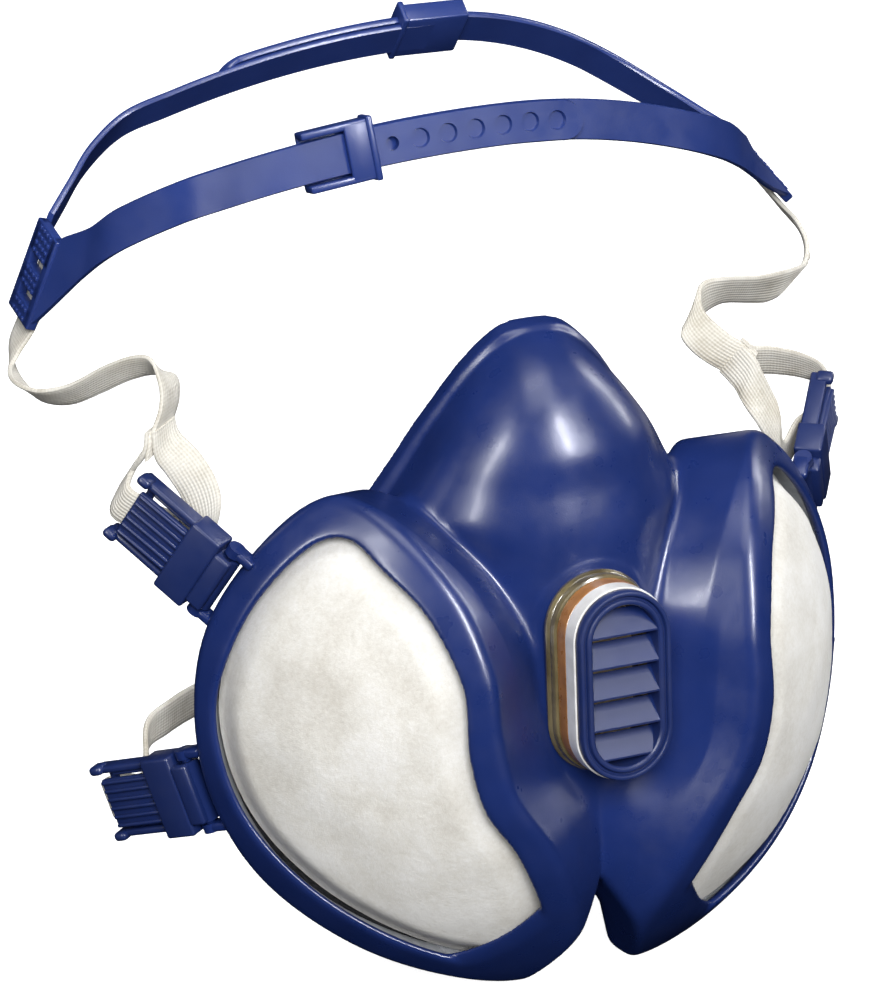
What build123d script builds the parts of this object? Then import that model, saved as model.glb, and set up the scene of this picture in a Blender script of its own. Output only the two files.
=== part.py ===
"""Half-mask respirator with two fixed filter pods, a louvred outlet valve and a four-point harness.

Frame: millimetres, +Z up, the mask looks along -Y and the wearer's face is on the +Y side.
The origin is the middle of the face opening, on the plane of symmetry X = 0.
"""
from build123d import *
from math import cos, hypot, radians, sin
import os

# ---------------------------------------------------------------- driving dimensions
WALL = 2.5                    # rubber wall of the facepiece
FACE_RADIUS = 95.0            # the face side of the seal lies on an upright cylinder
FACE_FRONT = 2.0              # nearest point of that cylinder to the front, on X = 0
LIP_WIDTH = 9.0               # in-turned sealing lip
LIP_THICKNESS = 1.6

POD_CENTRE = (58.0, -30.0, -15.0)
POD_TURN = 47.5               # degrees that a pod looks outwards
POD_CROWN = 89.0              # radius of the domed front
POD_RISE = 11.0               # top of the dome above the pod's plane
POD_DROP = -4.0               # centre of the dome above the pod's centre
POD_BACK = -34.0              # back of the pod's walls, from the pod's plane
TRAY_BACK = -20.0
TRAY_WALL = 1.8
PAD_THICKNESS = 4.6
PORT_RADIUS = 11.0
FLAP_THICKNESS = 0.7
FLAP_LIFT = 1.2               # travel of an inhalation flap on its stud

VALVE_CENTRE = (0.0, -41.8, 0.0)
VALVE_TILT = 8.6              # degrees that the valve's face leans back
VALVE_LENGTH = 45.5
VALVE_WIDTH = 23.5
VALVE_HEIGHT = 15.0           # front of the cover above the column
COLLAR = 8.2                  # thickened rubber that grips the valve
FLAP_HINGE = 18.4             # top edge of the outlet flap above the valve's centre
BAND_THICKNESS = 0.35

BUCKLE_BOX = (8.6, 20.5, 7.0)  # along the strap, across it, and through it
BUCKLE_RAIL = 17.0
BAR_RADIUS = 1.3              # moulded bar on the facepiece that a buckle swivels on
BAR_FIT = 0.08
LUG_REACH = 7.5               # ears, from the bar into the pod's wall

STRAP_WIDTH = 9.5             # woven elastic
STRAP_THICKNESS = 1.2

CRADLE_CENTRE = (4.5, 62.0, 112.0)
CRADLE_LEAN = 10.7            # degrees that the cradle leans forwards
CRADLE_SPREAD = 27.0          # front and back band, each side of the cradle's middle
BAND_WIDTH = 10.0
BAND_DEPTH = 1.5
BAND_TILT = 25.0              # degrees that a band's face tips outwards
KEEPER_LENGTH = 17.5
KEEPER_AT = {-1: 8.6, 1: -39.3}        # x of the keeper on the end of each half's inner band
TAIL_STOP = {-1: 24.5, 1: -46.5}       # x where each half's outer band ends
DIMPLES = 8                            # pressed in the outer band, from its end
DIMPLE_PITCH = 7.2
DIMPLE_RADIUS = 2.1
PEG_HOLE = 6                           # the dimple that goes right through
PEG_RADIUS = 1.7
# Arcs of the front (-1) and back (1) band: x and height of the crest, radius left and right of it.
CREST = {-1: (5.0, 1.8, 330.0, 155.0), 1: (8.0, -1.0, 205.0, 84.0)}
YOKES = {-1: (102.0, -40.0, 16.0), 1: (93.0, -34.5, 43.0)}   # reach, drop and outward lean of each yoke
YOKE_PLATE = (2.6, 13.0, 24.0)
YOKE_SLOTS = (2.6, -5.8)
# Arms from a yoke (end, band): stations in the cradle's frame, then where the arc takes over.
ARMS = {(-1, -1): ([((-101.3, -6.3, -38.5), (0.27, 0, 0.96), 24.0),
                    ((-95.5, -14, -27.5), (0.15, 0.1, 0.98), 13.5),
                    ((-90.5, -21.5, -17.5), (0.05, 0.25, 0.95), 11.0)], -79.0),
        (-1, 1): ([((-98.3, 5.8, -32), (0.27, 0, 0.96), 10.0), ((-91, 12.5, -27), (0.2, -0.15, 0.95), 10.5),
                   ((-83, 20, -22), (0.1, -0.3, 0.93), 10.0)], -72.0),
        (1, -1): ([((92.5, -6.3, -33.5), (-0.68, 0, 0.73), 23.0),
                   ((82, -13.5, -24), (-0.35, 0.15, 0.92), 13.0),
                   ((71.5, -21, -15), (-0.1, 0.28, 0.95), 10.8)], 60.0),
        (1, 1): ([((88.5, 5.8, -29.5), (-0.6, 0, 0.8), 10.0), ((83.5, 12.5, -28.5), (-0.4, -0.15, 0.9), 10.5),
                  ((75.5, 20.5, -25), (-0.2, -0.3, 0.93), 10.0)], 62.0)}

# Half outlines, from the pod's centre: across (away from the nose) and up.
POD_RIM = [(5, 56.5), (15.5, 54.5), (28, 41.5), (37.8, 23.5), (40, 5), (36, -17), (23.5, -38.5), (2, -54.5),
           (-18, -63.5), (-33, -67), (-44, -61.5), (-51.5, -48), (-52.5, -33), (-49.5, -19), (-42, -4),
           (-38, 10), (-34.5, 24.5), (-25, 39.5), (-10, 51)]
POD_WINDOW = [(5, 48.3), (14.5, 44), (25.3, 29), (31.8, 9), (30.3, -6), (23, -21.5), (9, -35.5), (-9, -47.5),
              (-25, -55), (-36.5, -55.5), (-43.5, -46.5), (-44.8, -35), (-41.5, -20), (-35, -8), (-31, 6),
              (-28, 21.5), (-18, 35.5), (-5, 44)]
# Nose cone and column: height, half width at the back, front of the ridge.
COLUMN = [(71.5, 7, -7), (64, 17, -18), (52, 27, -29), (33, 37, -36), (14, 30, -39.2),
          (-10, 25, -42.8), (-40, 23, -45.5), (-59, 18, -41.5), (-69, 11, -28)]
# Cheek cup seen from the front: right half, from the nose to the chin.
CUP = [(21, 48), (34, 33), (51, 10), (58, -16), (52, -45), (32, -66)]
CUP_TOP = 59.0
CUP_BOTTOM = -74.0
CUP_FRONT = -12.0

NODES = {}


def keep(name, shape):
    """Store a sub-part under its node name."""
    NODES[name] = shape


def mirrored(shape):
    return mirror(shape, about=Plane.YZ)


def both_sides(name, shape):
    """A handed pair: the shape is the right one, on +X."""
    keep(name + "_right", shape)
    keep(name + "_left", mirrored(shape))


# ---------------------------------------------------------------- frames of reference
turn = radians(POD_TURN)
POD = Plane(origin=POD_CENTRE, x_dir=(cos(turn), sin(turn), 0), z_dir=(sin(turn), -cos(turn), 0))
lean = radians(VALVE_TILT)
VALVE = Plane(origin=VALVE_CENTRE, x_dir=(1, 0, 0), z_dir=(0, -cos(lean), sin(lean)))
nod = radians(CRADLE_LEAN)
CRADLE = Plane(origin=CRADLE_CENTRE, x_dir=(1, 0, 0), z_dir=(0, -sin(nod), cos(nod)))


# ---------------------------------------------------------------- filter pods
def inward(points, inset):
    """A clockwise outline's points, each moved in square to the outline."""
    moved = []
    for i, (x, y) in enumerate(points):
        (xa, ya), (xb, yb) = points[i - 1], points[(i + 1) % len(points)]
        span = hypot(xb - xa, yb - ya)
        moved.append((x + inset * (yb - ya) / span, y - inset * (xb - xa) / span))
    return moved


def pod_face(points, inset, height):
    return Pos(0, 0, height) * make_face(Wire([Spline(*inward(points, inset), periodic=True)]))


def pod_block(points, inset, back, sunk):
    """A block with the pod's outline, from its back up to the domed front, sunk below the rim."""
    dome = Pos(0, POD_DROP, POD_RISE - POD_CROWN) * Sphere(POD_CROWN - sunk)
    return extrude(pod_face(points, inset, back), amount=60, dir=(0, 0, 1)) & dome


def placed(shape):
    return POD.location * shape


def filter_tray():
    """Rigid tray that holds the carbon, with the spoked inhalation port in its floor."""
    tray = pod_block(POD_RIM, WALL + 0.3, TRAY_BACK, WALL + 0.1)
    tray -= pod_block(POD_RIM, WALL + 0.3 + TRAY_WALL, TRAY_BACK + TRAY_WALL, 0)
    floor = TRAY_BACK + TRAY_WALL / 2
    tray -= Pos(0, 0, floor) * Cylinder(PORT_RADIUS, TRAY_WALL * 2)
    for angle in (0, 60, 120):
        tray += Pos(0, 0, floor) * Rot(0, 0, angle) * Box(2 * PORT_RADIUS + 1, 1.6, TRAY_WALL)
    stud = FLAP_THICKNESS + FLAP_LIFT + 0.3
    tray += Pos(0, 0, TRAY_BACK - stud / 2) * Cylinder(1.4, stud)
    tray += Pos(0, 0, TRAY_BACK - stud - 0.5) * Cylinder(2.6, 1.0)
    return tray


def inhale_flap():
    disc = Pos(0, 0, TRAY_BACK - FLAP_THICKNESS / 2 - 0.05) * Cylinder(PORT_RADIUS + 1.6, FLAP_THICKNESS)
    return disc - Pos(0, 0, TRAY_BACK) * Cylinder(1.75, 4)


def filter_pods():
    pocket = WALL + 0.3 + TRAY_WALL + 0.15
    pad_front = WALL + 0.15
    carbon_front = pad_front + PAD_THICKNESS
    both_sides("filter_tray", placed(filter_tray()))
    bed = pod_block(POD_RIM, pocket, TRAY_BACK + TRAY_WALL + 1.2, carbon_front + 0.1)
    both_sides("carbon_bed", placed(bed))
    scrim = extrude(pod_face(POD_RIM, pocket, TRAY_BACK + TRAY_WALL + 0.1), amount=1.0, dir=(0, 0, 1))
    scrim &= pod_block(POD_RIM, pocket, TRAY_BACK, carbon_front + 0.1)
    both_sides("dust_scrim", placed(scrim))
    pad = pod_block(POD_RIM, pocket, TRAY_BACK + TRAY_WALL + 0.1, pad_front)
    pad -= pod_block(POD_RIM, 0, TRAY_BACK - 1, carbon_front)
    both_sides("filter_pad", placed(pad))
    both_sides("inhale_flap", placed(inhale_flap()))


# ---------------------------------------------------------------- facepiece
def arch(height, half, front, back=10.0):
    """One level slice of the nose cone: an arched front closed by a straight back."""
    bow = Spline((-half, back), (-0.86 * half, back + 0.62 * (front - back)), (0, front),
                 (0.86 * half, back + 0.62 * (front - back)), (half, back), tangents=[(0, -1), (0, 1)])
    chord = Line((half, back), (-half, back))
    return Pos(0, 0, height) * make_face(Wire([bow, chord]))


def column(inset):
    slices = []
    for height, half, front in COLUMN:
        shift = 0.0
        if height == COLUMN[0][0]:
            shift = -inset
        if height == COLUMN[-1][0]:
            shift = inset
        slices.append(arch(height + shift, half - inset, front + inset))
    return loft(slices)


def cup(inset, front):
    right = list(CUP)
    left = [(-x, z) for x, z in reversed(right)]
    points = inward([(0, CUP_TOP), *right, (0, CUP_BOTTOM), *left], inset)
    outline = make_face(Wire([Spline(*points, periodic=True)]))
    upright = Plane(origin=(0, front, 0), x_dir=(1, 0, 0), z_dir=(0, -1, 0))
    return extrude(upright.location * outline, amount=45 - front, dir=(0, 1, 0))


def face_space(radius):
    return Pos(0, FACE_FRONT + FACE_RADIUS, 0) * Cylinder(radius, 220)


def buckle_frames():
    """Name, bar centre in the pod's plane, turn of the strap line and its backward tip."""
    return [("upper", (36.9, 33.0, -6.0), 31.0, 4.0), ("lower", (39.3, -20.2, -1.5), -22.5, 9.0)]


def buckle_place(centre, swing, tip):
    """The strap runs along local X, the bar along local Y."""
    return POD.location * Pos(*centre) * Rot(0, 0, swing) * Rot(0, tip, 0)


def lug():
    """Two ears and the bar between them, moulded on the pod's rim."""
    piece = Rot(90, 0, 0) * Cylinder(BAR_RADIUS, 19)
    for side in (-1, 1):
        piece += Pos(-LUG_REACH / 2, side * 9.6, 0) * Box(LUG_REACH, 2.2, 4.4)
        piece += Pos(0, side * 9.6, 0) * Rot(90, 0, 0) * Cylinder(2.2, 2.2)
    return piece


def valve_slot(grow, low, high):
    """An obround block on the valve's axis, between two heights."""
    face = Rot(0, 0, 90) * SlotOverall(VALVE_LENGTH + 2 * grow, VALVE_WIDTH + 2 * grow)
    return VALVE.location * Pos(0, 0, low) * extrude(face, amount=high - low)


def facepiece():
    skin = column(0) + cup(0, CUP_FRONT)
    hollow = column(WALL) + cup(WALL, CUP_FRONT + WALL)
    pod = placed(pod_block(POD_RIM, 0, POD_BACK, 0))
    room = placed(pod_block(POD_RIM, WALL, POD_BACK + WALL, WALL))
    skin += pod + mirrored(pod)
    hollow += room + mirrored(room)
    shell = skin - hollow
    window = placed(extrude(pod_face(POD_WINDOW, 0, TRAY_BACK + 8), amount=40, dir=(0, 0, 1)))
    shell -= window + mirrored(window)
    shell += valve_slot(3.2, -COLLAR, 0.2) & skin
    shell -= valve_slot(-1.4, -14, 6) + valve_slot(0.55, -14, -COLLAR)
    shell -= face_space(FACE_RADIUS)
    lip = (cup(0.2, CUP_FRONT) - cup(LIP_WIDTH, CUP_FRONT - 5)) & (
        face_space(FACE_RADIUS + LIP_THICKNESS) - face_space(FACE_RADIUS))
    shell += lip
    for _, centre, swing, tip in buckle_frames():
        ears = buckle_place(centre, swing, tip) * lug() - room
        shell += ears + mirrored(ears)
    return shell


# ---------------------------------------------------------------- outlet valve
def valve_body():
    """Clear housing: flange behind the column, obround wall and the spoked seat of the flap."""
    body = valve_slot(0.4, -COLLAR - 1.3, -COLLAR - 0.1) + valve_slot(-1.5, -COLLAR - 0.2, 0.4)
    body += valve_slot(0, 0.3, 12.4)
    body -= valve_slot(-3.2, -COLLAR - 3, 13)
    seat = valve_slot(-3.0, 0.4, 1.8) - valve_slot(-5.0, 0, 3)
    for level in (-11, 0, 11):
        seat += VALVE.location * Pos(0, level, 1.1) * Box(VALVE_WIDTH - 7, 1.4, 1.4)
    return body + seat


def exhale_flap():
    face = Rot(0, 0, 90) * SlotOverall(VALVE_LENGTH - 8.4, VALVE_WIDTH - 8.4)
    return VALVE.location * Pos(0, 0, 1.9) * extrude(face, amount=0.8)


def flap_clamp():
    """Bar across the housing that pins the flap's top edge to the seat."""
    bar = VALVE.location * Pos(0, FLAP_HINGE - 1.2, 4.0) * Box(VALVE_WIDTH, 2.2, 1.4)
    return bar & valve_slot(-3.25, 0, 9)


def colour_band(low, high):
    return valve_slot(BAND_THICKNESS, low, high) - valve_slot(0.02, low - 1, high + 1)


def valve_cover():
    """Snap-on cover with a double rim and five sloping louvres."""
    cover = valve_slot(0, 12.5, VALVE_HEIGHT) - valve_slot(-3.4, 12, VALVE_HEIGHT + 1)
    cover -= valve_slot(-1.2, VALVE_HEIGHT - 0.7, VALVE_HEIGHT + 1) - valve_slot(-2.1, VALVE_HEIGHT - 1, 16)
    cover += valve_slot(-3.35, 9.5, 12.6) - valve_slot(-4.2, 9, 13)
    for step in range(-2, 3):
        blade = Pos(0, step * 7.4, 12.2) * Rot(-35, 0, 0) * Box(VALVE_WIDTH - 6.2, 5.2, 0.9)
        opening = valve_slot(-3.36, 9.5, 12.5) + valve_slot(-3.0, 12.5, VALVE_HEIGHT)
        cover += (VALVE.location * blade) & opening
    return cover


def outlet_valve():
    keep("valve_body", valve_body())
    keep("colour_band_brown", colour_band(3.6, 7.8))
    keep("colour_band_white", colour_band(7.9, 12.2))
    keep("exhale_flap", exhale_flap())
    keep("flap_clamp", flap_clamp())
    keep("valve_cover", valve_cover())


# ---------------------------------------------------------------- buckles
def buckle():
    """Box that swivels on the lug's bar, two rails, a ribbed thumb tongue and the strap's cross bar."""
    length, width, depth = BUCKLE_BOX
    start = BAR_RADIUS + 1.4
    knuckle = Rot(90, 0, 0) * Cylinder(BAR_RADIUS + 1.3, 15.5)
    body = knuckle + Pos((start - 1.4) / 2, 0, 0.6) * Box(start + 1.6, 15.5, depth)
    body += Pos(start + length / 2, 0, 0.6) * Box(length, width, depth)
    body -= Pos(start + length / 2 + 1.5, 0, -0.2) * Box(length, STRAP_WIDTH + 4, 2.8)
    body -= Rot(90, 0, 0) * Cylinder(BAR_RADIUS + BAR_FIT, 40)
    rail_x = start + length + BUCKLE_RAIL / 2 - 0.5
    for side in (-1, 1):
        body += Pos(rail_x, side * 8.2, -0.2) * Box(BUCKLE_RAIL + 1, 1.8, 4.2)
        body += Pos(start + length + BUCKLE_RAIL - 1.2, side * 8.6, 1.9) * Box(2.4, 2.6, 2.0)
    tongue = BUCKLE_RAIL - 2.5
    body += Pos(start + length + tongue / 2 - 0.5, 0, 2.6) * Box(tongue + 1, 12.0, 1.3)
    for line in range(-2, 3):
        body += Pos(start + length + tongue / 2, line * 2.5, 3.5) * Box(tongue - 1, 1.0, 1.0)
    bar_x = start + length + BUCKLE_RAIL - 3.5
    body += Pos(bar_x, 0, -1.3) * Rot(90, 0, 0) * Cylinder(1.1, 16)
    return body


def buckles():
    for name, centre, swing, tip in buckle_frames():
        both_sides("buckle_" + name, buckle_place(centre, swing, tip) * buckle())


# ---------------------------------------------------------------- bands and elastics
def smooth(a, b, c, d, t):
    """Catmull-Rom value between b and c."""
    bend = (2 * a - 5 * b + 4 * c - d) * t ** 2 + (3 * b - a - 3 * c + d) * t ** 3
    return 0.5 * (2 * b + (c - a) * t + bend)


def ribbon(stations, thickness, steps=3):
    """A flat band through stations of (point, direction across the band, width)."""
    rows = [(Vector(*p), Vector(*across).normalized(), width) for p, across, width in stations]
    rows = [rows[0]] + rows + [rows[-1]]
    fine = []
    for i in range(1, len(rows) - 2):
        a, b, c, d = rows[i - 1:i + 3]
        for k in range(steps):
            fine.append(tuple(smooth(a[j], b[j], c[j], d[j], k / steps) for j in range(3)))
    fine.append(rows[-2])
    rings = []
    for i, (point, across, width) in enumerate(fine):
        ahead = fine[min(i + 1, len(fine) - 1)][0] - fine[max(i - 1, 0)][0]
        up = ahead.cross(across).normalized() * (thickness / 2)
        side = up.cross(ahead).normalized() * (width / 2)
        rings.append([point - side - up, point + side - up, point + side + up, point - side + up])
    faces = [Face(Wire.make_polygon(rings[0][::-1])), Face(Wire.make_polygon(rings[-1]))]
    for near, far in zip(rings, rings[1:]):
        for k in range(4):
            m = (k + 1) % 4
            faces.append(Face(Wire.make_polygon([near[k], near[m], far[m]])))
            faces.append(Face(Wire.make_polygon([near[k], far[m], far[k]])))
    band = Solid(Shell(faces))
    return band if band.volume > 0 else Solid(Shell([-f for f in faces]))


def band_height(x, side):
    peak, top, left, right = CREST[side]
    radius = left if x < peak else right
    return top - (x - peak) ** 2 / (2 * radius), (peak - x) / radius


def band_station(x, side, lift):
    """A point of a cradle band on its arc; lift raises it outwards through the band's thickness."""
    tip = radians(BAND_TILT)
    height = band_height(x, side)[0] + lift * sin(tip)
    point = (x, side * (CRADLE_SPREAD + lift * cos(tip)), height)
    return point, (0, -side * sin(tip), cos(tip)), BAND_WIDTH


def cradle_arm(end, side, stop, lift):
    """One arm from its yoke over the crown to x = stop; side -1 is the front."""
    stations, x = ARMS[end, side]
    stations = list(stations)
    stride = 12.0
    while (x - stop) * end > stride * 0.6:
        stations.append(band_station(x, side, lift))
        x -= end * stride
    stations.append(band_station(stop, side, lift))
    return ribbon(stations, BAND_DEPTH)


def on_band(x, side, lift):
    """A place on a band: local X along it, local Y across it, local Z out of its face."""
    (px, py, pz), across, _ = band_station(x, side, lift)
    along = Vector(1, 0, band_height(x, side)[1]).normalized()
    out = along.cross(Vector(*across)) * (-side)
    return Plane(origin=(px, py, pz), x_dir=along, z_dir=out).location


def keeper(x, side, end):
    """Frame at the end of an inner band that the outer band slides through."""
    room = BAND_WIDTH + 1.0
    frame = Box(KEEPER_LENGTH, room + 3.6, 5.6) - Box(40.0, room, 2.6)
    frame -= Pos(-end * 4.5, 0, 2.4) * Box(11.0, room, 5.0)
    return on_band(x, side, 1.0) * frame


def cradle_half(end):
    """One moulding: a yoke, the outer band with its dimples and the inner band with its keeper."""
    tail_side = end                        # left half: tail band in front; right half: at the back
    half = Part() + cradle_arm(end, tail_side, TAIL_STOP[end], 1.0)
    half += cradle_arm(end, -tail_side, KEEPER_AT[end], -1.0)
    reach, drop, outward = YOKES[end]
    seat = Pos(end * reach, 0, drop) * Rot(0, -end * outward, 0)
    yoke = seat * Box(*YOKE_PLATE)
    for level in YOKE_SLOTS:
        yoke -= seat * Pos(0, 0, level) * Box(9, 7.4, 3.0)
    half += yoke
    half += keeper(KEEPER_AT[end], -tail_side, end)
    for hole in range(DIMPLES):
        x = TAIL_STOP[end] + end * (7.0 + hole * DIMPLE_PITCH)
        if hole == PEG_HOLE:
            half -= on_band(x, tail_side, 1.0) * Cylinder(PEG_RADIUS, 6)
        else:
            half -= on_band(x, tail_side, 1.0) * Pos(0, 0, 1.0) * Cylinder(DIMPLE_RADIUS, 1.6)
    return CRADLE.location * half


def point_of(place, x, y, z, side):
    """A buckle's local point in the object's frame; side -1 gives the mirrored left one."""
    p = (place * Pos(x, y, z)).position
    return (side * p.X, p.Y, p.Z)


def across_of(place, side):
    a = point_of(place, 0, 0, 0, side)
    b = point_of(place, 0, 1, 0, side)
    return tuple(q - p for p, q in zip(a, b))


# Free elastics from the yoke to the fork above each upper buckle: point, direction across.
LONG_LEFT = [((-93.8, 68.5, 77.8), (0, 1, 0.19)), ((-96.6, 70.3, 68.3), (0, 1, 0.19)),
             ((-99.2, 71.7, 60.3), (0, 1, 0.15)), ((-103.4, 69.5, 54.8), (0.15, 1, 0)),
             ((-106.3, 63.5, 52), (0.4, 0.85, -0.2)), ((-106.2, 57, 50.1), (0.5, 0.75, -0.4)),
             ((-103, 51, 49), (0.4, 0.7, -0.6)), ((-97.9, 45, 51), (0.3, 0.6, -0.8)),
             ((-92.5, 38, 56.5), (0.15, 0.45, -0.85)), ((-88, 32, 60.8), (0.1, 0.5, -0.8)),
             ((-84.3, 27.5, 62.4), (0.3, 0.6, -0.6)), ((-81.9, 23.5, 59.9), (0.7, 0.7, -0.1)),
             ((-82.6, 21, 55.2), (0.75, 0.66, 0)), ((-85.2, 19.5, 49.6), (0.8, 0.6, 0.1))]
LONG_RIGHT = [((91.7, 67.9, 80.8), (0, 1, 0.19)), ((98.5, 69.3, 73.7), (0, 1, 0.19)),
              ((104.3, 70.4, 67.6), (0, 1, 0.19)), ((109.3, 69.8, 62), (0.1, 1, 0)),
              ((111.6, 66, 57.3), (0.3, 0.9, 0)), ((109.6, 60.5, 54), (0.5, 0.8, 0)),
              ((105, 55.5, 52), (0.7, 0.5, 0.2)), ((97, 50.5, 51), (0.5, 0.1, 0.6)),
              ((86.7, 46, 52.6), (0.2, -0.4, 0.85)), ((74.5, 41, 55.5), (0, -0.4, 0.85)),
              ((64.8, 36, 55.5), (0.2, 0.1, 0.9)), ((60.6, 31, 52.4), (0.8, 0.3, 0.5)),
              ((64, 26, 47.8), (0.8, -0.1, 0.6)), ((68.9, 21.8, 44.8), (0.5, -0.3, 0.8))]
# The sewn loop from the fork round the buckle's cross bar: branch to the tail, branch from the box.
LOOP_LEFT = ([((-87.2, 18.6, 47), (0.75, 0.4, 0.35)), ((-90.3, 20.6, 42.4), (0.5, -0.15, 0.8)),
              ((-92.8, 21.7, 37.7), (0.35, -0.38, 0.86))],
             [((-77.2, 11, 29.5), (0.5, -0.5, 0.6)), ((-78.2, 12.8, 36), (0.7, -0.4, 0.4)),
              ((-81.2, 15.2, 42), (0.8, 0, 0.4)), ((-84.4, 17.4, 46.5), (0.75, 0.4, 0.35))])
LOOP_RIGHT = ([((72.2, 21.2, 44.4), (-0.1, -0.35, 0.9)), ((78.3, 20.6, 43.6), (-0.2, -0.35, 0.87)),
               ((86, 20.4, 41.4), (-0.3, -0.37, 0.86)), ((92.8, 21.2, 37.6), (-0.35, -0.38, 0.86))],
              [((75.6, 11.2, 28.3), (0.1, 0.1, 0.9)), ((72.6, 13.3, 34.3), (0.6, 0.4, 0.5)),
               ((70.4, 16.3, 39.2), (0.5, 0.1, 0.7)), ((69.7, 18.9, 41.9), (0.4, -0.2, 0.8))])
# The lower elastic behind the buckle and round the nape, right side.
NECK = [(86, 27.5, -34), (79, 31.5, -31.5), (66, 41, -32.5), (45, 53, -35), (28, 60, -37), (14.8, 62, -38)]
CLIP = (0.0, 62.0, -38.0)
# Round a buckle's cross bar, in the buckle's plane: along it from its bar, and out of it.
LOOP_TURN = [(29.5, 1.3), (24.8, 0.95), (20.5, -0.8), (16.0, -4.4), (9.0, -6.6)]
NECK_TURN = [(15.0, 0.4), (20.5, 0.9), (24.8, 0.95), (28.5, -0.3), (29.0, -3.2), (26.0, -4.9), (19.0, -5.2)]


def sewn_loop(side, branches):
    centre, swing, tip = buckle_frames()[0][1:]
    place = buckle_place(centre, swing, tip)
    across = across_of(place, side)
    to_tail, from_box = branches
    stations = [(point, turned, STRAP_WIDTH) for point, turned in to_tail]
    for x, z in LOOP_TURN:
        stations.append((point_of(place, x, 0, z, side), across, STRAP_WIDTH))
    stations += [(point, turned, STRAP_WIDTH) for point, turned in from_box]
    return ribbon(stations, STRAP_THICKNESS)


def neck_strap(side):
    """From its free end under the tongue, round the cross bar and back behind the mask."""
    centre, swing, tip = buckle_frames()[1][1:]
    place = buckle_place(centre, swing, tip)
    across = across_of(place, side)
    stations = []
    for x, z in NECK_TURN:
        stations.append((point_of(place, x, 0, z, side), across, STRAP_WIDTH))
    for x, y, z in NECK:
        stations.append(((side * x, y, z), (0, 0.1 * side, 1.0), STRAP_WIDTH))
    return ribbon(stations, STRAP_THICKNESS)


def neck_clip():
    """Hook on the left strap's end, eye on the right strap's end."""
    eye = Box(11, 2.4, 15) - Pos(-0.6, 0, 0) * Box(6.6, 6, 9.6)
    eye = Pos(1.5, 0, 0) * eye + Pos(9.6, 0, 0) * (Box(6.2, 2.4, 15) - Pos(0.4, 0, 0) * Box(2.4, 6, 10.6))
    hook = Box(9.4, 2.4, 15) - Pos(-1.6, 0, 0) * Box(2.4, 6, 10.6)
    hook = Pos(-9.3, 0, 0) * hook
    hook += Pos(-6.0, 1.9, 0) * Box(2.8, 3.0, 8.6)
    hook += Pos(-3.2, 2.7, 0) * Box(6.4, 1.6, 8.6)
    hook += Pos(-0.9, 0.6, 0) * Box(1.8, 5.4, 8.6)
    return Pos(*CLIP) * hook, Pos(*CLIP) * eye


def harness():
    keep("cradle_half_left", cradle_half(-1))
    keep("cradle_half_right", cradle_half(1))
    keep("elastic_upper_left", ribbon([(p, a, STRAP_WIDTH) for p, a in LONG_LEFT], STRAP_THICKNESS))
    keep("elastic_upper_right", ribbon([(p, a, STRAP_WIDTH) for p, a in LONG_RIGHT], STRAP_THICKNESS))
    keep("elastic_loop_left", sewn_loop(-1, LOOP_LEFT))
    keep("elastic_loop_right", sewn_loop(1, LOOP_RIGHT))
    keep("neck_strap_left", neck_strap(-1))
    keep("neck_strap_right", neck_strap(1))
    hook, eye = neck_clip()
    keep("neck_hook", hook)
    keep("neck_eye", eye)


def build_all():
    keep("facepiece", facepiece())
    filter_pods()
    outlet_valve()
    buckles()
    harness()


build_all()
os.makedirs("parts", exist_ok=True)
for name, shape in NODES.items():
    export_step(shape, f"parts/{name}.step")
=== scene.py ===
"""Looks of the half-mask respirator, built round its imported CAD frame.

Metres in Blender, but the shapes are worked out in millimetres, as in the part, and scaled once.
The mask looks along -Y, +Z is up, and left and right are as seen from in front.
"""
from math import ceil, cos, pi, radians, sin, sqrt

import bmesh
import bpy
import numpy as np
import openvdb
from mathutils import Matrix, Vector, geometry, noise


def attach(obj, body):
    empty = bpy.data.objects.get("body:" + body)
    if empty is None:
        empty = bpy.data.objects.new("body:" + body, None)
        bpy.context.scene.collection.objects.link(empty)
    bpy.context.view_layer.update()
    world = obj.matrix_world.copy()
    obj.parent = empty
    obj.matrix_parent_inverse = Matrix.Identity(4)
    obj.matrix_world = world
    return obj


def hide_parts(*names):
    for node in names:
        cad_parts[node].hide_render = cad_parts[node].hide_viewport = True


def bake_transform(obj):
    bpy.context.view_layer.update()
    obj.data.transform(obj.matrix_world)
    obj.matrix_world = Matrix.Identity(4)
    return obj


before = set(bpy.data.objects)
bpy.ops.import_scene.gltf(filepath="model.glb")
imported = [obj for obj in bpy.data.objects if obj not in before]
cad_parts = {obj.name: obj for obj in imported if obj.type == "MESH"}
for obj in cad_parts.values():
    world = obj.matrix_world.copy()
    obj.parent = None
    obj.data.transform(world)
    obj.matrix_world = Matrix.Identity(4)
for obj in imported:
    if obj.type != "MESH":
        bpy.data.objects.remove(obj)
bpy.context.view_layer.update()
MM = 0.001

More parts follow.
